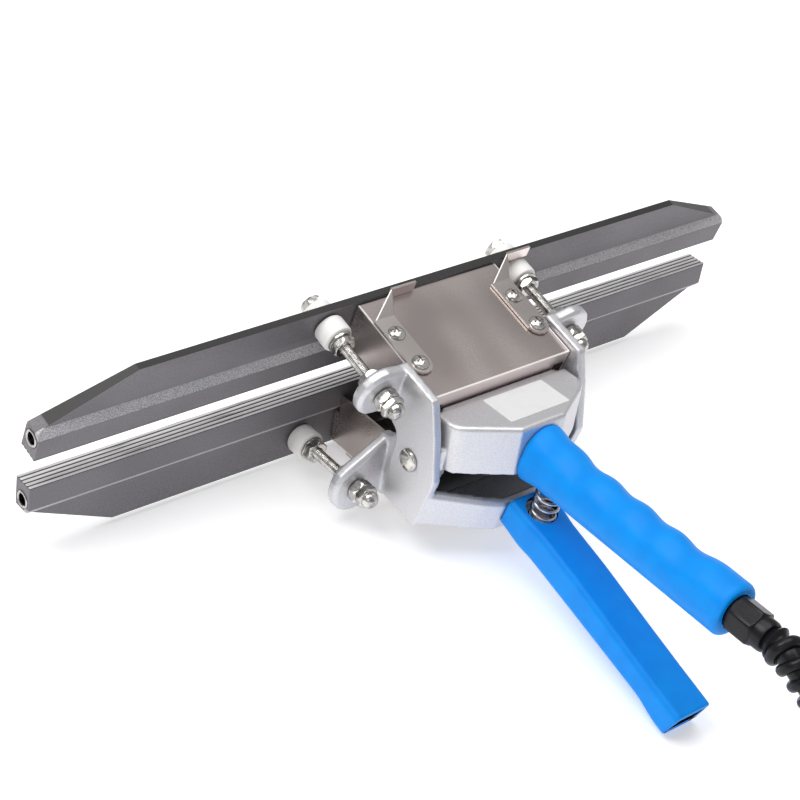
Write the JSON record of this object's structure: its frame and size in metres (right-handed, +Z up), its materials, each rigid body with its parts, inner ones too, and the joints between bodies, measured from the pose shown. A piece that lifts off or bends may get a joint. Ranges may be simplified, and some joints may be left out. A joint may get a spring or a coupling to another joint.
{
  "type": "handheld heat sealer",
  "caption": "Plier-type handheld heat sealer: two long heated jaws on crossed cast levers with blue grips, a return spring and a mains cord with plug.",
  "frame": {"origin": "on the floor under the middle of the tool's bounding box, measured without the cord, its coil, plug and strain relief", "axes": "+X along the jaws, +Y from the grips to the jaws, +Z up from the floor"},
  "size_m": [0.4008, 0.3673, 0.0933],
  "materials": {
    "jaw_coating": "dark grey coated, finely textured, satin",
    "cast_aluminium": "satin die-cast",
    "stainless_sheet": "smooth stainless sheet",
    "nickel_steel": "bright nickel plated",
    "white_insulator": "white, smooth",
    "blue_grip": "blue soft vinyl, satin",
    "spring_steel": "bright spring wire",
    "black_nylon": "black, satin",
    "black_cord": "black, satin"
  },
  "bodies": {
    "upper_grip_lever": {"cord": "black_cord", "cord_coil": "black_cord", "cord_tail": "black_cord", "gland": "black_nylon", "lower_acorn_nut_left": "nickel_steel", "lower_acorn_nut_right": "nickel_steel", "lower_bolt_left": "nickel_steel", "lower_bolt_right": "nickel_steel", "lower_bracket_left": "stainless_sheet", "lower_bracket_left_front_screw": "nickel_steel", "lower_bracket_left_rear_screw": "nickel_steel", "lower_bracket_right": "stainless_sheet", "lower_bracket_right_front_screw": "nickel_steel", "lower_bracket_right_rear_screw": "nickel_steel", "lower_cover": "stainless_sheet", "lower_front_insulator_left": "white_insulator", "lower_front_insulator_right": "white_insulator", "lower_heater_tube": "nickel_steel", "lower_jaw": "jaw_coating", "lower_jaw_nut_left": "nickel_steel", "lower_jaw_nut_right": "nickel_steel", "lower_lug_front_nut_left": "nickel_steel", "lower_lug_front_nut_right": "nickel_steel", "lower_lug_rear_nut_left": "nickel_steel", "lower_lug_rear_nut_right": "nickel_steel", "lower_rear_insulator_left": "white_insulator", "lower_rear_insulator_right": "white_insulator", "plug": "black_nylon", "return_spring": "spring_steel", "strain_relief": "black_nylon", "upper_grip": "blue_grip", "upper_handle_frame": "cast_aluminium"},
    "lower_grip_lever": {"lower_grip": "blue_grip", "lower_handle_frame": "cast_aluminium", "pivot_screw_left": "nickel_steel", "pivot_screw_right": "nickel_steel", "upper_acorn_nut_left": "nickel_steel", "upper_acorn_nut_right": "nickel_steel", "upper_bolt_left": "nickel_steel", "upper_bolt_right": "nickel_steel", "upper_bracket_left": "stainless_sheet", "upper_bracket_left_front_screw": "nickel_steel", "upper_bracket_left_rear_screw": "nickel_steel", "upper_bracket_right": "stainless_sheet", "upper_bracket_right_front_screw": "nickel_steel", "upper_bracket_right_rear_screw": "nickel_steel", "upper_cover": "stainless_sheet", "upper_front_insulator_left": "white_insulator", "upper_front_insulator_right": "white_insulator", "upper_heater_tube": "nickel_steel", "upper_jaw": "jaw_coating", "upper_jaw_nut_left": "nickel_steel", "upper_jaw_nut_right": "nickel_steel", "upper_lug_front_nut_left": "nickel_steel", "upper_lug_front_nut_right": "nickel_steel", "upper_lug_rear_nut_left": "nickel_steel", "upper_lug_rear_nut_right": "nickel_steel", "upper_rear_insulator_left": "white_insulator", "upper_rear_insulator_right": "white_insulator"}
  },
  "joints": [
    {"name": "lever_pivot", "type": "hinge", "parent": "upper_grip_lever", "child": "lower_grip_lever", "pos_m": [-0.0018, 0.04835, 0.04636], "axis": [-1, 0, 0], "range_deg": [0, 14.4], "stiffness_Nm_per_rad": 8, "springref_deg": -21.49, "deforming": ["return_spring"]}
  ]
}
